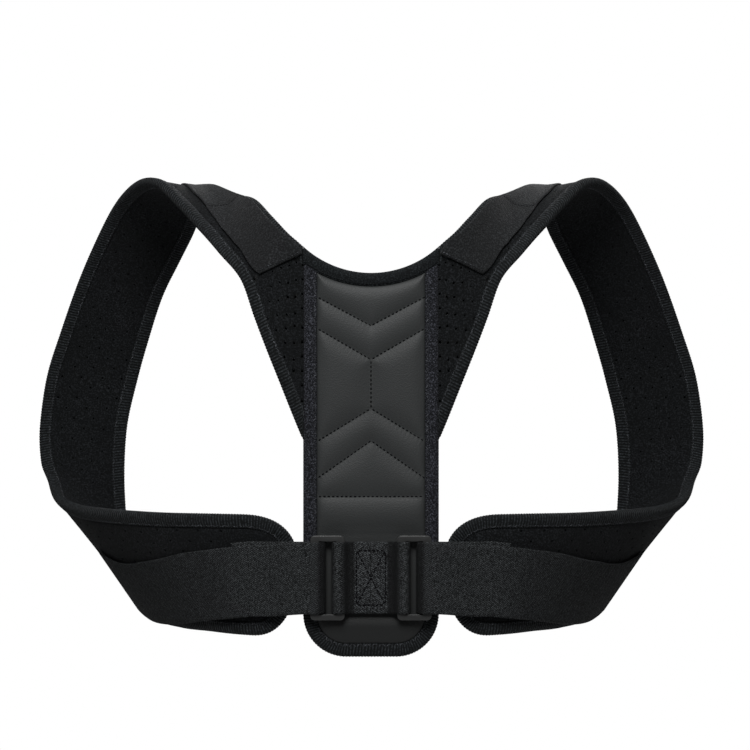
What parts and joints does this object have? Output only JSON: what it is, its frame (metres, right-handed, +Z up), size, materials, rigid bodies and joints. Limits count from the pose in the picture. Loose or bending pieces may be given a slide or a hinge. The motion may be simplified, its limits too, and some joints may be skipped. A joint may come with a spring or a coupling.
{
  "type": "posture corrector",
  "caption": "Upper-back brace: quilted spine panel, padded shoulder loops, webbing straps folded through rectangular rings, and a sewn tab that joins the rings.",
  "frame": {"origin": "midway between the shoulders, at the underside of the loops' crests, where the brace hangs on its wearer", "axes": "+X to the wearer's right, +Y to the wearer's front, +Z up; the outer face of the spine panel looks along -Y"},
  "size_m": [0.5218, 0.2126, 0.3445],
  "materials": {
    "lining": "matt knitted lining",
    "neoprene": "perforated foam",
    "tape": "ribbed edge tape",
    "cover": "smooth, soft sheen",
    "webbing": "matt woven webbing",
    "flap": "brushed loop tape",
    "plastic": "satin"
  },
  "bodies": {
    "root": {"spine_pad": "lining", "spine_edge_tape": "tape", "neckline_tape": "tape", "spine_cover": "cover", "ring_tab": "webbing", "left_loop_pad": "neoprene", "left_loop_edge_tape": "tape", "left_shoulder_flap": "flap", "left_side_strap": "webbing", "left_strap_ring": "plastic", "right_loop_pad": "neoprene", "right_loop_edge_tape": "tape", "right_shoulder_flap": "flap", "right_side_strap": "webbing", "right_strap_ring": "plastic"}
  },
  "joints": []
}
